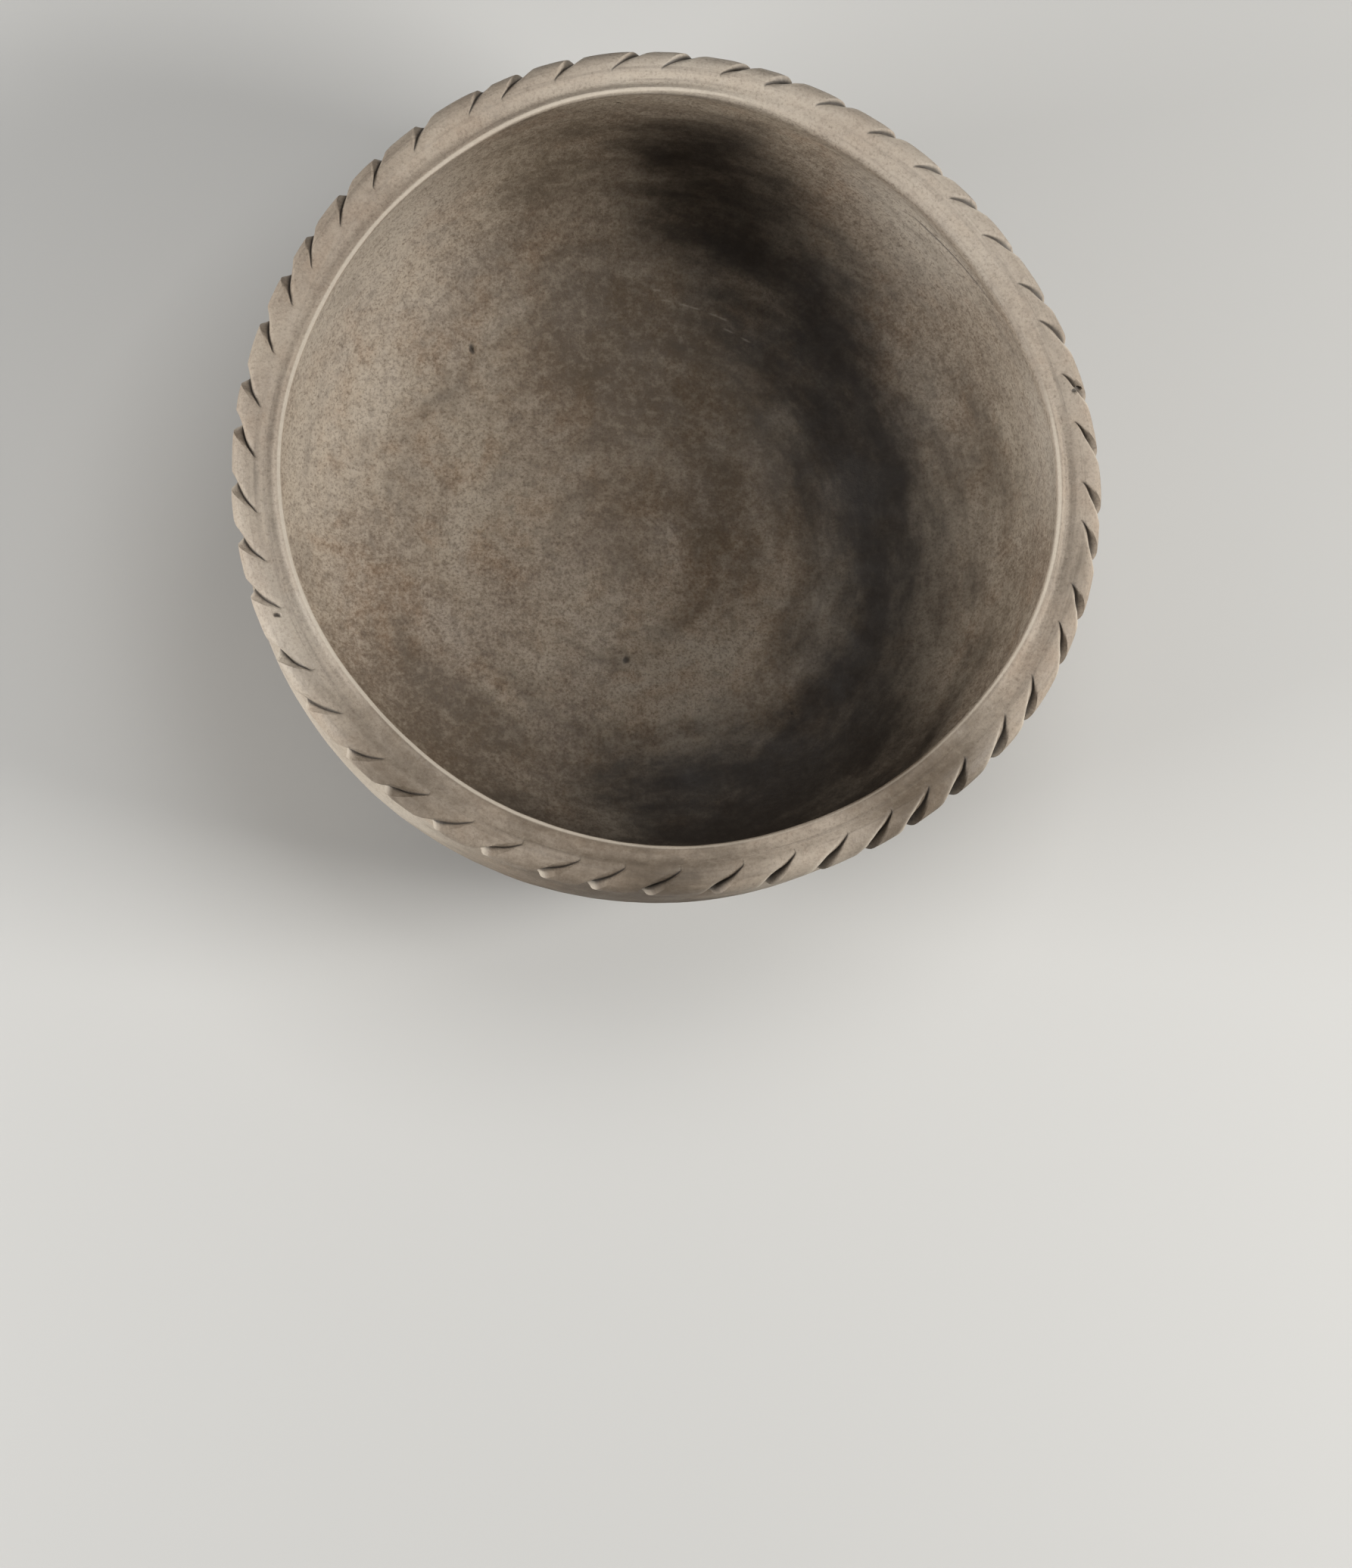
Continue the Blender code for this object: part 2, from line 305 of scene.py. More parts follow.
def notchSink(grid, climb):
    # how far each column of a ring sinks into the roll, how dark it is painted there, as painted
    # shade with some dirt, and how pale, as a painted highlight with some rubbing
    shape = notchShape
    deep = smooth(*shape["opens"], climb) * (1 - smooth(*shape["closes"], climb))
    width = shape["endWidth"] + (1 - shape["endWidth"]) * deep
    waver = 1 + shape["waver"] * np.sin(shape["waverTurns"] * climb + grid["phase"])
    last = np.clip(1 - grid["fromLast"] / (grid["steep"] * width), 0, 1) ** shape["steepPower"]
    coming = np.clip(1 - grid["toNext"] / (grid["gentle"] * width * waver), 0, 1)
    coming = coming ** shape["gentlePower"]
    cut = np.maximum(last, coming)
    notch = np.maximum(last * grid["lastDepth"], coming * grid["nextDepth"])
    edge = np.abs(2 * grid["share"] - 1) ** 3
    full = smooth(*shape["lobeOpens"], climb) * (1 - smooth(*shape["lobeCloses"], climb))
    dome = shape["pillow"] * edge * shape["depth"] + shape["slope"] * grid["share"] ** 2
    dome = dome + grid["drop"] * 4 * grid["share"] * (1 - grid["share"])
    # painted shade, with some dirt, darkens the bottom of a notch, and low down one side of it,
    # while a painted highlight, with some rubbing, pales the other side's edge. Which side is which
    # changes between the halves of the rim, following the side lights.
    changed = smooth(-shape["changeFade"], shape["changeFade"],
                     np.cos(grid["angle"] - math.radians(shape["changeSide"])))
    lowPower, morePower = shape["darkPower"]
    slope = coming ** (lowPower + morePower * smooth(*shape["darkNarrows"], climb))
    notchDark = np.maximum(last ** 3, slope) * (1 - changed) + np.maximum(last, coming ** 4) * changed
    notchDark = notchDark * smooth(*shape["darkDepth"], deep)
    wearAndHighlight = 0.0
    low = shape["steepSheen"] * (1 - smooth(*shape["sheenLow"], climb))
    for away, side, share in ((grid["fromLast"], grid["steep"], low * (1 - changed)),
                              (grid["toNext"], grid["gentle"], changed)):
        beside = (away - side * width) / shape["wearSheen"]
        fading = np.exp(-np.maximum(beside, 0.0))
        wearAndHighlight = wearAndHighlight + share * np.where(beside > shape["sheenFrom"], fading, 0.0)
    wearAndHighlight = wearAndHighlight * full * deep
    return shape["depth"] * deep * notch + dome * full * (1 - cut), notchDark, wearAndHighlight


def handBuilt(radius, angle, height):
    # the turned shape once the clay has moved: still up to the floor, full at the rim
    low = bowlShape["floor"]
    high = bowlShape["bellyHeight"] + bowlShape["upperWall"]
    share = np.clip((height - low) / (high - low), 0.0, 1.0)
    pushed = radius + wave(bowlShape["outOfRound"], angle) * share
    lifted = height + wave(bowlShape["rimLift"], angle) * share ** 2
    return np.stack([pushed * np.cos(angle), pushed * np.sin(angle), lifted], axis=1)


# Unevenness left by the hand, in metres: how far a wave of it runs round, up, and stands out
handMarks = {
    "dents": (0.055, 0.055, 0.00045),
    "fingerStrokes": (0.090, 0.016, 0.00012),
    "smoothing": (0.034, 0.0060, 0.00005),
    "wipeLines": (0.060, 0.0023, 0.00008),
    "pressed": (0.0070, 0.0070, 0.00010),
}
rimDentsLost = 0.75         # the rim has this much less of the dents than the body


def handRelief(points, along, rimShare):
    # height of the unevenness at each point
    relief = np.zeros(len(points))
    for number, (name, (across, up, size)) in enumerate(handMarks.items()):
        places = np.stack([points[:, 0] / across, points[:, 1] / across,
                           (points[:, 2] if up == across else along) / up], axis=1)
        share = {"dents": 1 - rimDentsLost * rimShare, "wipeLines": rimShare}.get(name, 1.0)
        if np.max(share) > 0:
            shift = Vector((7.3, 1.9, 4.1)) * number
            relief += size * share * np.array([noise.noise(Vector(place) + shift)
                                               for place in places])
    return relief


def scoreRelief(angle, height):
    # the line scored into the inside of the wall, with the burr above it
    mark = scoreMark
    degrees = degreesFrom(angle, 0)
    sides, heights = np.array(scoredLine).T
    present = smooth(sides[0], sides[0] + mark["fade"], degrees)
    present = present * (1 - smooth(sides[-1] - mark["fade"], sides[-1], degrees))
    off = height - np.interp(degrees, sides, heights) / 1000
    cut = np.exp(-(off / mark["width"]) ** 2) * present
    burr = np.exp(-((off - mark["burrAway"]) / mark["width"]) ** 2) * present
    return mark["depth"] * (mark["burr"] * burr - cut), cut


def joinRings(mesh, lower, lowerAngles, upper, upperAngles):
    # faces between two rings. Where they have as many columns, four-sided ones, and otherwise the
    # ring whose next column comes first steps on
    if len(lower) == len(upper):
        for column in range(len(lower)):
            following = (column + 1) % len(lower)
            mesh.faces.new((lower[column], lower[following], upper[following], upper[column]))
        return
    low = high = 0
    while low < len(lower) or high < len(upper):
        here = lower[low % len(lower)]
        there = upper[high % len(upper)]
        lowNext = low < len(lower) and (high == len(upper)
                                        or lowerAngles[low + 1] <= upperAngles[high + 1])
        if lowNext:
            low += 1
            mesh.faces.new((here, lower[low % len(lower)], there))
        else:
            high += 1
            mesh.faces.new((here, upper[high % len(upper)], there))


# the layers: inside or not; the darkening painted into notches, as painted shade with some dirt,
# and into pits and the scored line; the rim's share; the paleness painted on lobe edges and the
# lip, as painted highlights with some rubbing, and on scrapes; and the distance along the wall
surfaceLayers = ("inside", "hollow", "rim", "wearAndHighlight", "along")


def buildRings(mesh):
    # every ring's points, with what the finish needs to know about them
    shape = bowlShape
    rimHeight = shape["bellyHeight"] + shape["upperWall"]
    rimRadius = shape["bellyRadius"] + shape["rollReach"]
    rollCentre, rollLevel = rimRadius - shape["rollRadius"], rimHeight - shape["rollRadius"]
    reach = math.acos(1 - shape["bandDepth"] / shape["rollRadius"])
    furrow = rollCentre - shape["rollRadius"] * math.sin(reach)
    rows = bodyRows(shape["bellyRadius"], 0.0, 0.0) + rollRows(rollCentre, rollLevel)
    rows += lipRows(furrow, rimHeight)
    rows += bodyRows(shape["bellyRadius"] - shape["wall"], shape["floor"], 1.0)[-2::-1]

    grid = notchGrid()
    layers = {name: mesh.verts.layers.float.new(name) for name in surfaceLayers}
    line = np.array([(row["radius"], row["height"]) for row in rows])
    along = np.concatenate(([0.0], np.cumsum(np.hypot(*np.diff(line, axis=0).T))))
    slope = np.gradient(line, along, axis=0)
    slope /= np.linalg.norm(slope, axis=1)[:, None]
    rings = []
    for row, (slopeOut, slopeUp), length in zip(rows, slope, along):
        climb = row.get("climb", -1.0)
        if row["columns"] == "rim":
            run = np.clip(climb, 0.0, notchShape["runEnds"]) ** notchShape["curl"]
            angle = grid["angle"] + run * grid["lean"] * notchShape["run"] / rimRadius
            sink, hollow, wearAndHighlight = notchSink(grid, climb)
        else:
            first = grid["angle"][0]
            if row["inside"]:
                run = notchShape["runEnds"] ** notchShape["curl"]
                first += run * grid["lean"][0] * notchShape["run"] / rimRadius
            angle = first + fullTurn * np.arange(row["columns"]) / row["columns"]
            sink = hollow = wearAndHighlight = np.zeros(row["columns"])
        radius = np.full(len(angle), row["radius"])
        height = np.full(len(angle), row["height"])
        wander = row.get("wander", 0.0)
        wearAndHighlight = wearAndHighlight + row.get("wearAndHighlight", 0.0)
        if "wiped" in row:
            soft = np.zeros(len(angle))
            for middle, half, fade, share in wipedStretches:
                off = np.abs(degreesFrom(angle, middle)) - half
                soft = np.maximum(soft, share * (1 - smooth(-fade, fade, off)))
            wipedRadius, wipedHeight, wipedWander = row["wiped"]
            radius += (wipedRadius - radius) * soft
            height += (wipedHeight - height) * soft
            wander = wander + (wipedWander - wander) * soft
            wearAndHighlight = wearAndHighlight * (1 - soft)
        radius += wander * wave(shape["lipWander"], angle)
        toCentre = math.hypot(rollCentre - row["radius"], rollLevel - row["height"])
        radius += (rollCentre - row["radius"]) * sink / toCentre
        height += (rollLevel - row["height"]) * sink / toCentre
        points = handBuilt(radius, angle, height)
        rimShare = row.get("rim", 0.0)
        relief = handRelief(points, np.full(len(angle), length), rimShare) - shape["skin"]
        if row["inside"] > 0.9:
            scored, cut = scoreRelief(angle, height)
            relief += scored
            # the scored line is darkened in colour too
            hollow = np.maximum(hollow, cut)
        points[:, 0] += relief * slopeUp * np.cos(angle)
        points[:, 1] += relief * slopeUp * np.sin(angle)
        points[:, 2] = np.maximum(points[:, 2] - relief * slopeOut, 0.0)
        ring = []
        for point, dip, paleShare in zip(points, hollow, wearAndHighlight):
            vert = mesh.verts.new(point)
            for name, value in zip(surfaceLayers, (row["inside"], dip, rimShare, paleShare, length)):
                vert[layers[name]] = value
            ring.append(vert)
        rings.append((ring, np.append(angle, angle[0] + fullTurn)))
    return rings, layers


# Marks in the surface: where it lies, degrees from +X, height (or distance from the axis on the
# floor and on the roll), length, width, depth. Millimetres.
surfaceMarks = {
    "deep_pit": ("outside", 306.6, 82.0, 5.2, 3.4, 1.5),
    "rim_pit": ("outside", 235.2, 95.0, 2.6, 1.8, 0.7),
    "left_pit": ("outside", 230.2, 77.3, 3.4, 1.7, 0.6),
    "hole_under_roll": ("outside", 303.0, 96.5, 2.2, 1.8, 0.8),
    "small_pit": ("outside", 252.0, 97.0, 1.8, 1.6, 0.5),
    "side_pit": ("outside", 331.0, 97.0, 2.0, 1.8, 0.7),
    "back_pit": ("outside", 74.0, 61.0, 3.6, 2.2, 0.7),
    "back_pit_low": ("outside", 118.0, 38.0, 2.8, 2.2, 0.6),
    "inner_pit": ("floor", 128.0, 90.0, 5.0, 2.4, 0.8),
    "inner_crater": ("floor", 271.2, 40.3, 5.6, 5.0, 0.5),
    "inner_speck": ("floor", 316.2, 84.4, 2.0, 1.8, 0.6),
    "far_pit": ("wallInside", 97.0, 92.0, 2.4, 1.6, 0.6),
    "roll_pit": ("roll", 14.5, 149.5, 2.2, 1.6, 0.9),
    "roll_pit_left": ("roll", 203.0, 149.0, 3.0, 1.8, 0.9),
    **{f"scrape_{step}": ("floor", 84 - 3.2 * step, 95.5 - 0.6 * step, 6.0, 1.5, 0.14)
       for step in range(8)},
}


# The heights in millimetres between which each surface lies, and how the marks are pressed in
pressing = {
    "outsideFrom": 12,
    "floorUpTo": 60,
    "rollFrom": 108,
    "patch": (0.9, 3),          # the mesh is cut finer this many lengths away, and 3 mm further
    "cuts": 3,
    "farthest": 0.008,          # metres, no mark reaches further
    "ragged": (0.25, 900),      # how much its edge strays, and how often in a metre
    "lean": (1.1, 0.5, 400),    # radians from level, how much marks differ in it, and how often
    "scrapeLean": 0.1,
    "pitFull": 0.8,
    "pitLip": (0.10, 1.15, 0.25),       # height, place and width, as shares of the mark
    "craterRing": (0.70, 0.85, 0.30),   # the same for the ring raised round a burst bubble
    "craterHollow": 0.55,
    "pitDarkening": 0.9,                # share of a pit's depth that darkens it
    "scrapeRubbed": 0.5,
}


def pressMarks(mesh, layers):
    # pits and dents, each in a patch of its own that is cut finer first
    shape = pressing
    mesh.normal_update()
    verts = list(mesh.verts)
    places = np.array([vert.co for vert in verts]) * 1000
    inside = np.array([vert[layers["inside"]] > 0.5 for vert in verts])
    rim = np.array([vert[layers["rim"]] for vert in verts])
    azimuth = np.arctan2(places[:, 1], places[:, 0])
    spread, height = np.hypot(places[:, 0], places[:, 1]), places[:, 2]
    sides = {"outside": (~inside & (height > shape["outsideFrom"]) & (rim < 0.1), height),
             "wallInside": (inside & (height > shape["floorUpTo"]), height),
             "floor": (inside & (height < shape["floorUpTo"]), spread),
             "roll": (~inside & (rim > 0.9) & (height > shape["rollFrom"]), spread)}
    centres = {}
    near = set()
    for name, (side, degrees, reach, length, width, depth) in surfaceMarks.items():
        onSide, measured = sides[side]
        across = np.radians(degreesFrom(azimuth, degrees)) * spread
        centre = verts[int(np.argmin(np.where(onSide, np.hypot(across, measured - reach), 1e9)))]
        centres[name] = (centre.co.copy(), centre.normal.copy())
        away = np.linalg.norm(places - np.array(centre.co) * 1000, axis=1)
        sameSide = inside == (centre[layers["inside"]] > 0.5)
        widely, more = shape["patch"]
        for index in np.nonzero((away < length * widely + more) & sameSide)[0]:
            near.update(verts[index].link_edges)
    bmesh.ops.subdivide_edges(mesh, edges=list(near), cuts=shape["cuts"], use_grid_fill=True)
    mesh.normal_update()
    for number, (name, (co, normal)) in enumerate(centres.items()):
        side, degrees, reach, length, width, depth = surfaceMarks[name]
        scrape = name.startswith("scrape")
        radial = Vector((math.cos(math.radians(degrees)), math.sin(math.radians(degrees)), 0))
        around = Vector((-radial.y, radial.x, 0))
        upward = normal.cross(around).normalized()
        lean, leanVaries, often = shape["lean"]
        turn = shape["scrapeLean"] if scrape else lean + leanVaries * noise.noise(co * often)
        lengthways = (around * math.cos(turn) + upward * math.sin(turn)).normalized()
        crossways = normal.cross(lengthways).normalized()
        innerSide = side in ("floor", "wallInside")
        for vert in mesh.verts:
            offset = vert.co - co
            if max(abs(offset.x), abs(offset.y), abs(offset.z)) > shape["farthest"]:
                continue
            if (vert[layers["inside"]] > 0.5) != innerSide:
                continue
            away = math.hypot(offset.dot(lengthways) / (length / 2000),
                              offset.dot(crossways) / (width / 2000))
            strays, often = shape["ragged"]
            away *= 1 + strays * noise.noise(vert.co * often + Vector((number, 0, 0)))
            if name == "inner_crater":
                rise, place, breadth = shape["craterRing"]
                raised = math.exp(-((away - place) / breadth) ** 2) * rise
                hollow = math.exp(-(away / shape["craterHollow"]) ** 2)
            else:
                rise, place, breadth = shape["pitLip"]
                raised = rise * math.exp(-((away - place) / breadth) ** 2)
                hollow = max(0.0, 1 - away ** 2) ** shape["pitFull"]
            vert.co += normal * (raised - hollow) * depth / 1000
            # pits are darkened in colour towards their middles, and scrapes made paler
            layer = layers["wearAndHighlight" if scrape else "hollow"]
            share = shape["scrapeRubbed"] if scrape else shape["pitDarkening"]
            vert[layer] = max(vert[layer], share * min(1.0, hollow))


# What the open fire left, together with painted shade and painted light: the dark clouds also paint
# shade, such as the crescent inside, the dark middle of the front and the shaded part of the rim,
# and the pale clouds paint light on the lit walls and rim. Each cloud has its middle as degrees
# from +X, distance from the axis and height, then its reach, all in millimetres, and how strong it
# is
cloudsOfFireAndLight = {
    ("sootAndShade", "inside"): (
        (84, 131, 60, 32, 0.85), (81, 126, 42, 26, 0.60), (288, 100, 18, 36, 0.96),
        (22, 88, 12, 24, 0.40), (70, 121, 36, 34, 0.85), (52, 106, 17, 32, 0.88),
        (34, 97, 13, 30, 0.88), (14, 93, 12, 32, 0.80), (354, 93, 12, 32, 0.72),
        (334, 98, 14, 34, 0.86), (316, 112, 24, 36, 0.88), (298, 124, 36, 46, 1.00),
        (276, 126, 42, 46, 1.00), (256, 126, 40, 36, 0.60), (281, 133, 72, 36, 0.92),
    ),
    ("sootAndShade", "outside"): (
        (264, 146, 94, 18, 0.30), (254, 139, 42, 24, 0.30), (315, 135, 34, 18, 0.60),
        (306, 145, 82, 9, 0.30), (60, 146, 70, 48, 0.55), (100, 138, 40, 40, 0.50),
        (150, 145, 88, 36, 0.30), (20, 120, 18, 40, 0.40),
    ),
    ("sootAndShade", "rim"): (
        (266, 146, 112, 50, 0.25),
    ),
    ("umberAndShade", "inside"): (
        (105, 130, 60, 46, 0.55), (225, 114, 24, 50, 0.75), (30, 60, 8, 60, 0.65),
        (90, 66, 8, 50, 0.65), (345, 136, 56, 36, 0.35), (262, 90, 10, 40, 0.30),
        (140, 40, 8, 60, 0.15), (12, 122, 38, 30, 0.60), (94, 88, 10, 34, 0.45),
    ),
    ("umberAndShade", "outside"): (
        (266, 146, 86, 36, 0.92), (266, 142, 58, 38, 0.94), (288, 142, 50, 30, 0.25),
        (244, 145, 60, 26, 0.45), (120, 145, 80, 60, 0.60), (185, 100, 10, 50, 0.50),
    ),
    ("umberAndShade", "rim"): (
        (262, 146, 112, 60, 0.70), (230, 136, 114, 34, 0.85), (308, 138, 113, 40, 0.80),
    ),
    ("bleachAndLight", "inside"): (
        (135, 32, 8, 44, 0.22), (150, 132, 64, 56, 0.66), (130, 134, 66, 40, 0.60),
        (178, 128, 40, 40, 0.25), (10, 140, 92, 40, 0.70), (48, 140, 84, 40, 0.85),
        (328, 138, 84, 30, 0.40),
    ),
    ("bleachAndLight", "outside"): (
        (209, 146, 66, 44, 0.72), (235, 146, 66, 34, 0.66), (222, 140, 44, 34, 0.50),
        (303, 146, 88, 34, 0.85), (328, 146, 72, 38, 0.35), (291, 146, 72, 26, 0.45),
    ),
    ("bleachAndLight", "rim"): (
        (205, 154, 102, 34, 0.60), (229, 154, 102, 28, 0.45), (292, 154, 102, 26, 0.50),
        (318, 154, 102, 30, 0.45), (90, 146, 112, 70, 0.65), (45, 146, 112, 60, 0.65),
        (180, 146, 112, 60, 0.25), (5, 146, 112, 60, 0.30),
    ),
    ("tawny", "inside"): (
        (30, 40, 8, 60, 0.35), (316, 84, 9, 30, 0.45), (120, 60, 8, 40, 0.30),
    ),
    ("tawny", "outside"): (
        (345, 144, 62, 46, 0.80), (290, 140, 44, 34, 0.45), (212, 142, 50, 30, 0.45),
    ),
}
cloudKinds = ("sootAndShade", "umberAndShade", "bleachAndLight", "tawny")
cloudEdge = 1.1             # the higher, the faster a cloud fades from its middle


def cloudAt(kind, places, onSide):
    # how much of one kind of cloud each point has
    clear = np.ones(len(places))
    for side, share in onSide.items():
        for degrees, spread, height, reach, strength in cloudsOfFireAndLight.get((kind, side), ()):
            angle = math.radians(degrees)
            centre = np.array((spread * math.cos(angle), spread * math.sin(angle), height)) / 1000
            away = np.linalg.norm(places - centre, axis=1) / (reach / 1000)
            clear *= 1 - strength * np.exp(-away ** 2 * cloudEdge) * share
    return 1 - clear


def linearColour(code):
    # an sRGB hex value as linear colour
    parts = [int(code[start:start + 2], 16) / 255 for start in (1, 3, 5)]
    return (*(part / 12.92 if part <= 0.04045 else ((part + 0.055) / 1.055) ** 2.4
              for part in parts), 1.0)


def addNode(tree, kind, settings=None, links=None):
    # a node with its settings and what is linked into it
    node = tree.nodes.new(kind)
    for name, value in (settings or {}).items():
        if isinstance(name, int) or name in node.inputs:
            node.inputs[name].default_value = value
        else:
            setattr(node, name, value)
    for name, source in (links or {}).items():
        tree.links.new(source, node.inputs[name])
    return node


clayFinish = {
    "greyBrown": "#776756",
    "tan": "#958876",
    "warm": "#866b52",
    "rimTan": "#9f9283",
    "tawny": "#8f7453",
    # the next colour also serves as painted light, besides the fire's pale marks and pale blotches
    "bleachAndLight": "#b3a99b",
    # the next three colours also serve as painted shade, besides the fire's marks and dust
    "umberAndShade": "#4b3d2c",
    "ashAndShade": "#60574b",
    "sootAndShade": "#1e150c",
    "blotch": "#4a4036",
    # the next colour is painted shade in the notches, with some dirt, and the colour of the
    # darkened pits and scored line
    "shadeAndDirt": "#251e17",
    # the next colour is painted highlight on lobe edges and the lip, with some rubbing, and the
    # colour of the paler scrapes
    "wearSheen": "#bdb2a2",
    "paleGrit": "#a09381",
    "darkGrit": "#4b3a28",
    "cloudSize": 60,            # millimetres, as are the sizes below
    "patchSize": 19,
    "blotchSize": 3.4,
    "gritSize": 1.5,
    "grainSize": 1.1,
    "strokeLength": 80,
    "strokeHeight": 2.4,
    "smearLength": 44,
    "smearHeight": 17,
    "raggedness": 1.30,         # of the clouds' edges
    "rimStripes": 0.7,          # how clearly the strokes of the hand show on the rim
    "wallStripes": 0.5,         # and inside, where they come in between these heights in metres
    "stripesFrom": (0.045, 0.100),
    "outsideGrain": 0.45,       # the outside was rubbed smoother, so its grain shows less
    "roughness": (0.58, 0.82),
    "grainRelief": 0.00030,     # metres
    "blotchRelief": 0.6,        # shares of it
    "stripeRelief": 1.2,
    "reliefStrength": 0.9,
}


def burnishedEarthenware(settings):
    # Burnished low-fired earthenware: grey-brown clay rubbed with a pebble before an open fire. To
    # the eye it is nearly matte, with a dull sheen where it was rubbed, a sandy grain, and soft
    # clouds of soot. Its clouds also carry painted shade and painted light, and its notches, pits
    # and lip painted shade and painted highlights. Its grains are about 0.5 mm and are drawn at 1.1
    # to 1.5 mm, so that they show.
    material = bpy.data.materials.new("burnished_earthenware")
    material.use_nodes = True
    tree = material.node_tree
    tree.nodes.clear()
    place = addNode(tree, "ShaderNodeTexCoord").outputs["Object"]
    sources = {name: addNode(tree, "ShaderNodeAttribute", {"attribute_name": name}).outputs["Fac"]
               for name in (*surfaceLayers, *cloudKinds, "striped", "sandy")}
    for name, detail, roughness, distortion in (
            ("cloud", 5.0, 0.62, 0.4), ("patch", 5.0, 0.65, 0.3),
            ("blotch", 4.0, 0.70, 0.0), ("grain", 3.0, 0.75, 0.0)):
        sources[name] = addNode(tree, "ShaderNodeTexNoise", {
            "Scale": 1000 / settings[name + "Size"], "Detail": detail, "Roughness": roughness,
            "Distortion": distortion}, {"Vector": place}).outputs["Fac"]
    grit = addNode(tree, "ShaderNodeTexVoronoi", {"Scale": 1000 / settings["gritSize"]},
                   {"Vector": place})
    pick = addNode(tree, "ShaderNodeSeparateColor", links={"Color": grit.outputs["Color"]})
    sources |= {"gritAway": grit.outputs["Distance"], "palePick": pick.outputs["Red"],
                "darkPick": pick.outputs["Green"]}

    # strokes of the hand and smears of smoke run round the bowl, whatever the wall's slope
    flat = addNode(tree, "ShaderNodeSeparateXYZ", links={"Vector": place})
    for name, detail in (("stroke", 3.0), ("smear", 6.0)):
        stretched = addNode(tree, "ShaderNodeCombineXYZ")
        for number, (source, size) in enumerate((
                (flat.outputs["X"], settings[name + "Length"]),
                (flat.outputs["Y"], settings[name + "Length"]),
                (sources["along"], settings[name + "Height"]))):
            scaled = addNode(tree, "ShaderNodeMath", {"operation": "MULTIPLY", 1: 1000 / size},
                             {0: source})
            tree.links.new(scaled.outputs[0], stretched.inputs[number])
        sources[name] = addNode(tree, "ShaderNodeTexNoise", {
            "Scale": 1.0, "Detail": detail, "Roughness": 0.62}, {"Vector": stretched.outputs[0]}
            ).outputs["Fac"]

    # the clouds' edges are ragged, the fire's marks and the painted shade and light alike
    ragged = settings["raggedness"]
    feather = addNode(tree, "ShaderNodeMath", {
        "operation": "MULTIPLY_ADD", 1: ragged, 2: -ragged / 2}, {0: sources["smear"]}).outputs[0]
    for name in cloudKinds:
        sources[name] = addNode(tree, "ShaderNodeMath", {"operation": "ADD"},
                                {0: sources[name], 1: feather}).outputs[0]

    # each mask runs from nothing at the first value of its source to its share at the second
    masks = {}
    for name, source, low, high, share in (
            ("tan", "cloud", 0.36, 0.64, 1.0), ("warm", "patch", 0.46, 0.72, 0.52),
            ("rimTan", "rim", 0.0, 1.0, 0.55), ("tawny", "tawny", 0.10, 0.90, 0.80),
            ("bleachAndLight", "bleachAndLight", 0.05, 0.95, 0.90), ("umberAndShade", "umberAndShade", 0.05, 0.95, 0.90),
            ("blotch", "blotch", 0.40, 0.80, 0.52), ("paleBlotch", "blotch", 0.58, 0.20, 0.38),
            ("rubbedThrough", "blotch", 0.56, 0.22, 0.42), ("dust", "blotch", 0.56, 0.24, 0.10),
            ("darkGrain", "grain", 0.44, 0.74, 0.72), ("paleGrain", "grain", 0.54, 0.26, 0.62),
            ("palePick", "palePick", 0.92, 0.95, 0.06), ("darkPick", "darkPick", 0.84, 0.88, 0.22),
            ("smearDark", "smear", 0.50, 0.72, 0.32), ("smearPale", "smear", 0.48, 0.28, 0.24),
            ("gritCore", "gritAway", 0.46, 0.14, 1.0), ("ashAndShade", "sootAndShade", 0.04, 0.50, 0.24),
            ("sootAndShade", "sootAndShade", 0.18, 1.05, 0.96), ("stripe", "stroke", 0.48, 0.78, 0.50),
            ("hollow", "hollow", 0.08, 0.75, 0.86), ("wearAndHighlight", "wearAndHighlight", 0.10, 0.90, 0.62)):
        masks[name] = addNode(tree, "ShaderNodeMapRange", {
            "interpolation_type": "SMOOTHSTEP", "From Min": low, "From Max": high,
            "To Max": share}, {"Value": sources[source]}).outputs["Result"]
    for name, first, second in (("paleGrit", masks["palePick"], masks["gritCore"]),
                                ("darkGrit", masks["darkPick"], masks["gritCore"]),
                                ("striped", masks["stripe"], sources["striped"]),
                                *((name, masks[name], sources["sandy"]) for name in (
                                    "blotch", "paleBlotch", "rubbedThrough", "darkGrain",
                                    "paleGrain"))):
        masks[name] = addNode(tree, "ShaderNodeMath", {"operation": "MULTIPLY"},
                              {0: first, 1: second}).outputs[0]

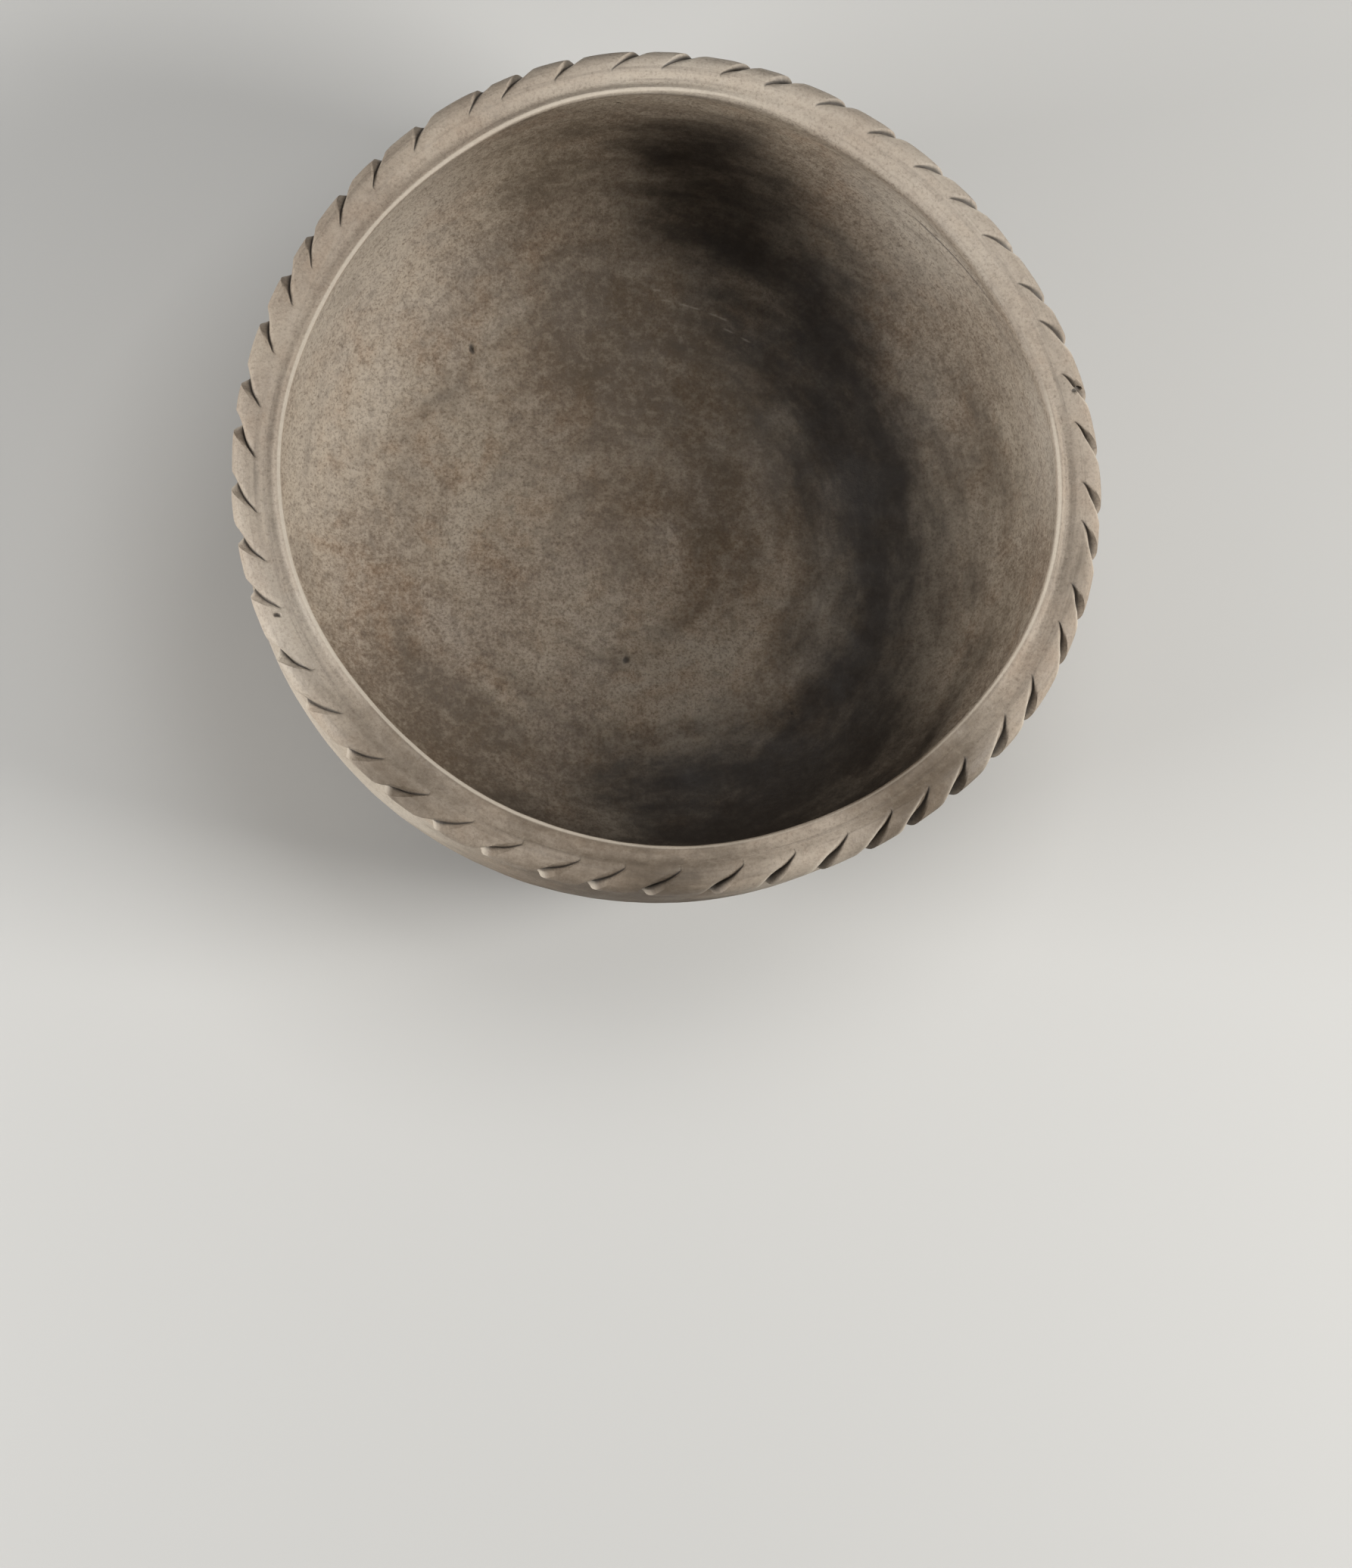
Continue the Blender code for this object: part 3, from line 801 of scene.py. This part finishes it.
    # the layers paint light and shade as well as the clay's own colours: the pale clouds paint
    # light, the dark clouds paint shade as well as fire marks, the notches' darkening is painted
    # shade with some dirt, and the pale lobe edges and lip are painted highlights with some rubbing
    colour = None
    for code, mask in (("tan", "tan"), ("warm", "warm"), ("rimTan", "rimTan"), ("tawny", "tawny"),
                       ("bleachAndLight", "bleachAndLight"), ("bleachAndLight", "paleBlotch"), ("paleGrit", "paleGrain"),
                       ("paleGrit", "paleGrit"), ("bleachAndLight", "smearPale"),
                       ("umberAndShade", "smearDark"), ("umberAndShade", "umberAndShade"), ("tan", "rubbedThrough"),
                       ("blotch", "blotch"), ("darkGrit", "darkGrain"), ("darkGrit", "darkGrit"),
                       ("ashAndShade", "ashAndShade"), ("sootAndShade", "sootAndShade"), ("ashAndShade", "dust"), ("blotch", "striped"),
                       ("shadeAndDirt", "hollow"), ("wearSheen", "wearAndHighlight")):
        layer = addNode(tree, "ShaderNodeMix", {"data_type": "RGBA",
                        6: linearColour(settings["greyBrown"]),
                        7: linearColour(settings[code])}, {0: masks[mask]})
        if colour:
            tree.links.new(colour, layer.inputs[6])
        colour = layer.outputs[2]

    roughness = addNode(tree, "ShaderNodeMapRange", {
        "From Min": 0.35, "From Max": 0.65, "To Min": settings["roughness"][0],
        "To Max": settings["roughness"][1]}, {"Value": sources["patch"]})
    height = sources["grain"]
    for source, share in ((sources["blotch"], settings["blotchRelief"]),
                          (masks["striped"], settings["stripeRelief"])):
        height = addNode(tree, "ShaderNodeMath", {"operation": "MULTIPLY_ADD", 1: share},
                         {0: source, 2: height}).outputs[0]
    bump = addNode(tree, "ShaderNodeBump", {
        "Strength": settings["reliefStrength"], "Distance": settings["grainRelief"]},
        {"Height": height})
    shader = addNode(tree, "ShaderNodeBsdfPrincipled", {"Metallic": 0.0, "IOR": 1.5}, {
        "Base Color": colour, "Roughness": roughness.outputs[0], "Normal": bump.outputs[0]})
    addNode(tree, "ShaderNodeOutputMaterial", links={"Surface": shader.outputs[0]})
    return material


def buildBowl():
    mesh = bmesh.new()
    rings, layers = buildRings(mesh)
    for (lower, lowerAngles), (upper, upperAngles) in zip(rings, rings[1:]):
        joinRings(mesh, lower, lowerAngles, upper, upperAngles)
    mesh.faces.new(rings[0][0][::-1])
    mesh.faces.new(rings[-1][0])
    print("pressing the pits and scrapes")
    pressMarks(mesh, layers)
    bmesh.ops.recalc_face_normals(mesh, faces=mesh.faces)
    data = bpy.data.meshes.new("clay_bowl")
    mesh.to_mesh(data)
    mesh.free()
    data.shade_smooth()
    data.set_sharp_from_angle(angle=math.radians(bowlShape["sharpEdge"]))
    print("firing and finishing the clay")
    places = np.empty(len(data.vertices) * 3)
    data.vertices.foreach_get("co", places)
    places = places.reshape(-1, 3)
    inside, rim = np.empty(len(places)), np.empty(len(places))
    data.attributes["inside"].data.foreach_get("value", inside)
    data.attributes["rim"].data.foreach_get("value", rim)
    onSide = {"inside": inside * (1 - rim), "outside": (1 - inside) * (1 - rim), "rim": rim}
    fields = {kind: cloudAt(kind, places, onSide) for kind in cloudKinds}
    upperWall = inside * smooth(*clayFinish["stripesFrom"], places[:, 2])
    fields["striped"] = np.maximum(rim * clayFinish["rimStripes"],
                                   upperWall * clayFinish["wallStripes"])
    fields["sandy"] = clayFinish["outsideGrain"] + (1 - clayFinish["outsideGrain"]) * inside
    for name, values in fields.items():
        data.attributes.new(name, "FLOAT", "POINT").data.foreach_set("value", values)
    data.materials.append(burnishedEarthenware(clayFinish))
    bowl = bpy.data.objects.new("clay_bowl", data)
    bpy.context.collection.objects.link(bowl)
    return bowl


print("building the bowl")
bowl = buildBowl()
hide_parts("bowl")
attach(bowl, "root")
data = bowl.data
print("bowl:", len(data.vertices), "points,",
      sum(len(face.vertices) - 2 for face in data.polygons), "triangles")


studio = {
    "floorRadius": 9.0,
    "floorSides": 96,
    "floorColour": "#b6b5b2",
    "floorRoughness": 0.9,
    "worldColour": "#e2e3e4",
    "worldStrength": 0.17,
    "aimHeight": 0.06,          # the softboxes face this height over the middle of the base
    # side of the bowl, degrees above the floor, distance, width and height, watts, colour
    "lights": {
        "left_softbox": (198, 16, 1.5, 0.7, 0.45, 27.5, "#fefefe"),
        "right_softbox": (348, 32, 1.6, 0.6, 0.6, 29.0, "#fefdfb"),
        "top_softbox": (60, 74, 1.7, 1.0, 1.0, 11.0, "#fefefe"),
    },
}


def layFloor(settings):
    # matte pale backdrop paper, which gives the eye nothing but soft shadow
    mesh = bmesh.new()
    bmesh.ops.create_circle(mesh, cap_ends=True, segments=settings["floorSides"],
                            radius=settings["floorRadius"])
    data = bpy.data.meshes.new("studio_floor")
    mesh.to_mesh(data)
    mesh.free()
    material = bpy.data.materials.new("backdrop_paper")
    material.use_nodes = True
    shader = material.node_tree.nodes["Principled BSDF"]
    shader.inputs["Base Color"].default_value = linearColour(settings["floorColour"])
    shader.inputs["Roughness"].default_value = settings["floorRoughness"]
    data.materials.append(material)
    floor = bpy.data.objects.new("studio_floor", data)
    bpy.context.collection.objects.link(floor)


def hangLights(settings):
    middle = Vector((0, 0, settings["aimHeight"]))
    for name, (side, rise, distance, width, height, watts, code) in settings["lights"].items():
        data = bpy.data.lights.new(name, "AREA")
        data.shape = "RECTANGLE"
        data.size, data.size_y = width, height
        data.energy = watts
        data.color = linearColour(code)[:3]
        light = bpy.data.objects.new(name, data)
        angle, up = math.radians(side), math.radians(rise)
        level = math.cos(up)
        away = Vector((math.cos(angle) * level, math.sin(angle) * level, math.sin(up)))
        light.location = middle + away * distance
        light.rotation_mode = "QUATERNION"
        light.rotation_quaternion = away.to_track_quat("Z", "Y")
        bpy.context.collection.objects.link(light)
    world = bpy.data.worlds.new("studio")
    world.use_nodes = True
    background = world.node_tree.nodes["Background"]
    background.inputs["Color"].default_value = linearColour(settings["worldColour"])
    background.inputs["Strength"].default_value = settings["worldStrength"]
    bpy.context.scene.world = world


# The picture that the camera is set for, in pixels, and where the middle of the rim stands in it
cameraSettings = {
    "picture": (1786, 2072),
    "rimPixel": (887, 624),
    "pixelsPerMetre": 3798,     # at the rim
    "rimLevel": 0.1057,
    "distance": 2.500,          # from the middle of the rim
    "tilt": 19,                 # degrees away from straight down
    "side": 240,                # the side of the bowl that the camera stands over, from +X
    "sensor": 36.0,
}


def setCamera(settings):
    tilt, side = math.radians(settings["tilt"]), math.radians(settings["side"])
    aside = math.sin(tilt)
    back = Vector((aside * math.cos(side), aside * math.sin(side), math.cos(tilt)))
    up = Vector((0, 1, 0))
    across = up.cross(back).normalized()
    above = back.cross(across)
    rim = Vector((0, 0, settings["rimLevel"]))
    place = rim + back * settings["distance"]
    # it looks past the rim's middle, so that this stands at its pixel
    right, down = ((whole / 2 - pixel) / settings["pixelsPerMetre"]
                   for whole, pixel in zip(settings["picture"], settings["rimPixel"]))
    back = (place - (rim + across * right - above * down)).normalized()
    across = up.cross(back).normalized()
    data = bpy.data.cameras.new("camera")
    data.sensor_width = settings["sensor"]
    data.lens = (settings["distance"] * settings["pixelsPerMetre"] * settings["sensor"]
                 / max(settings["picture"]))
    camera = bpy.data.objects.new("camera", data)
    turned = Matrix((across, back.cross(across), back)).transposed().to_4x4()
    camera.matrix_world = Matrix.Translation(place) @ turned
    bpy.context.collection.objects.link(camera)
    bpy.context.scene.camera = camera


print("setting up the studio")
layFloor(studio)
hangLights(studio)
setCamera(cameraSettings)
bpy.context.scene.view_settings.view_transform = "Standard"

bpy.context.view_layer.update()
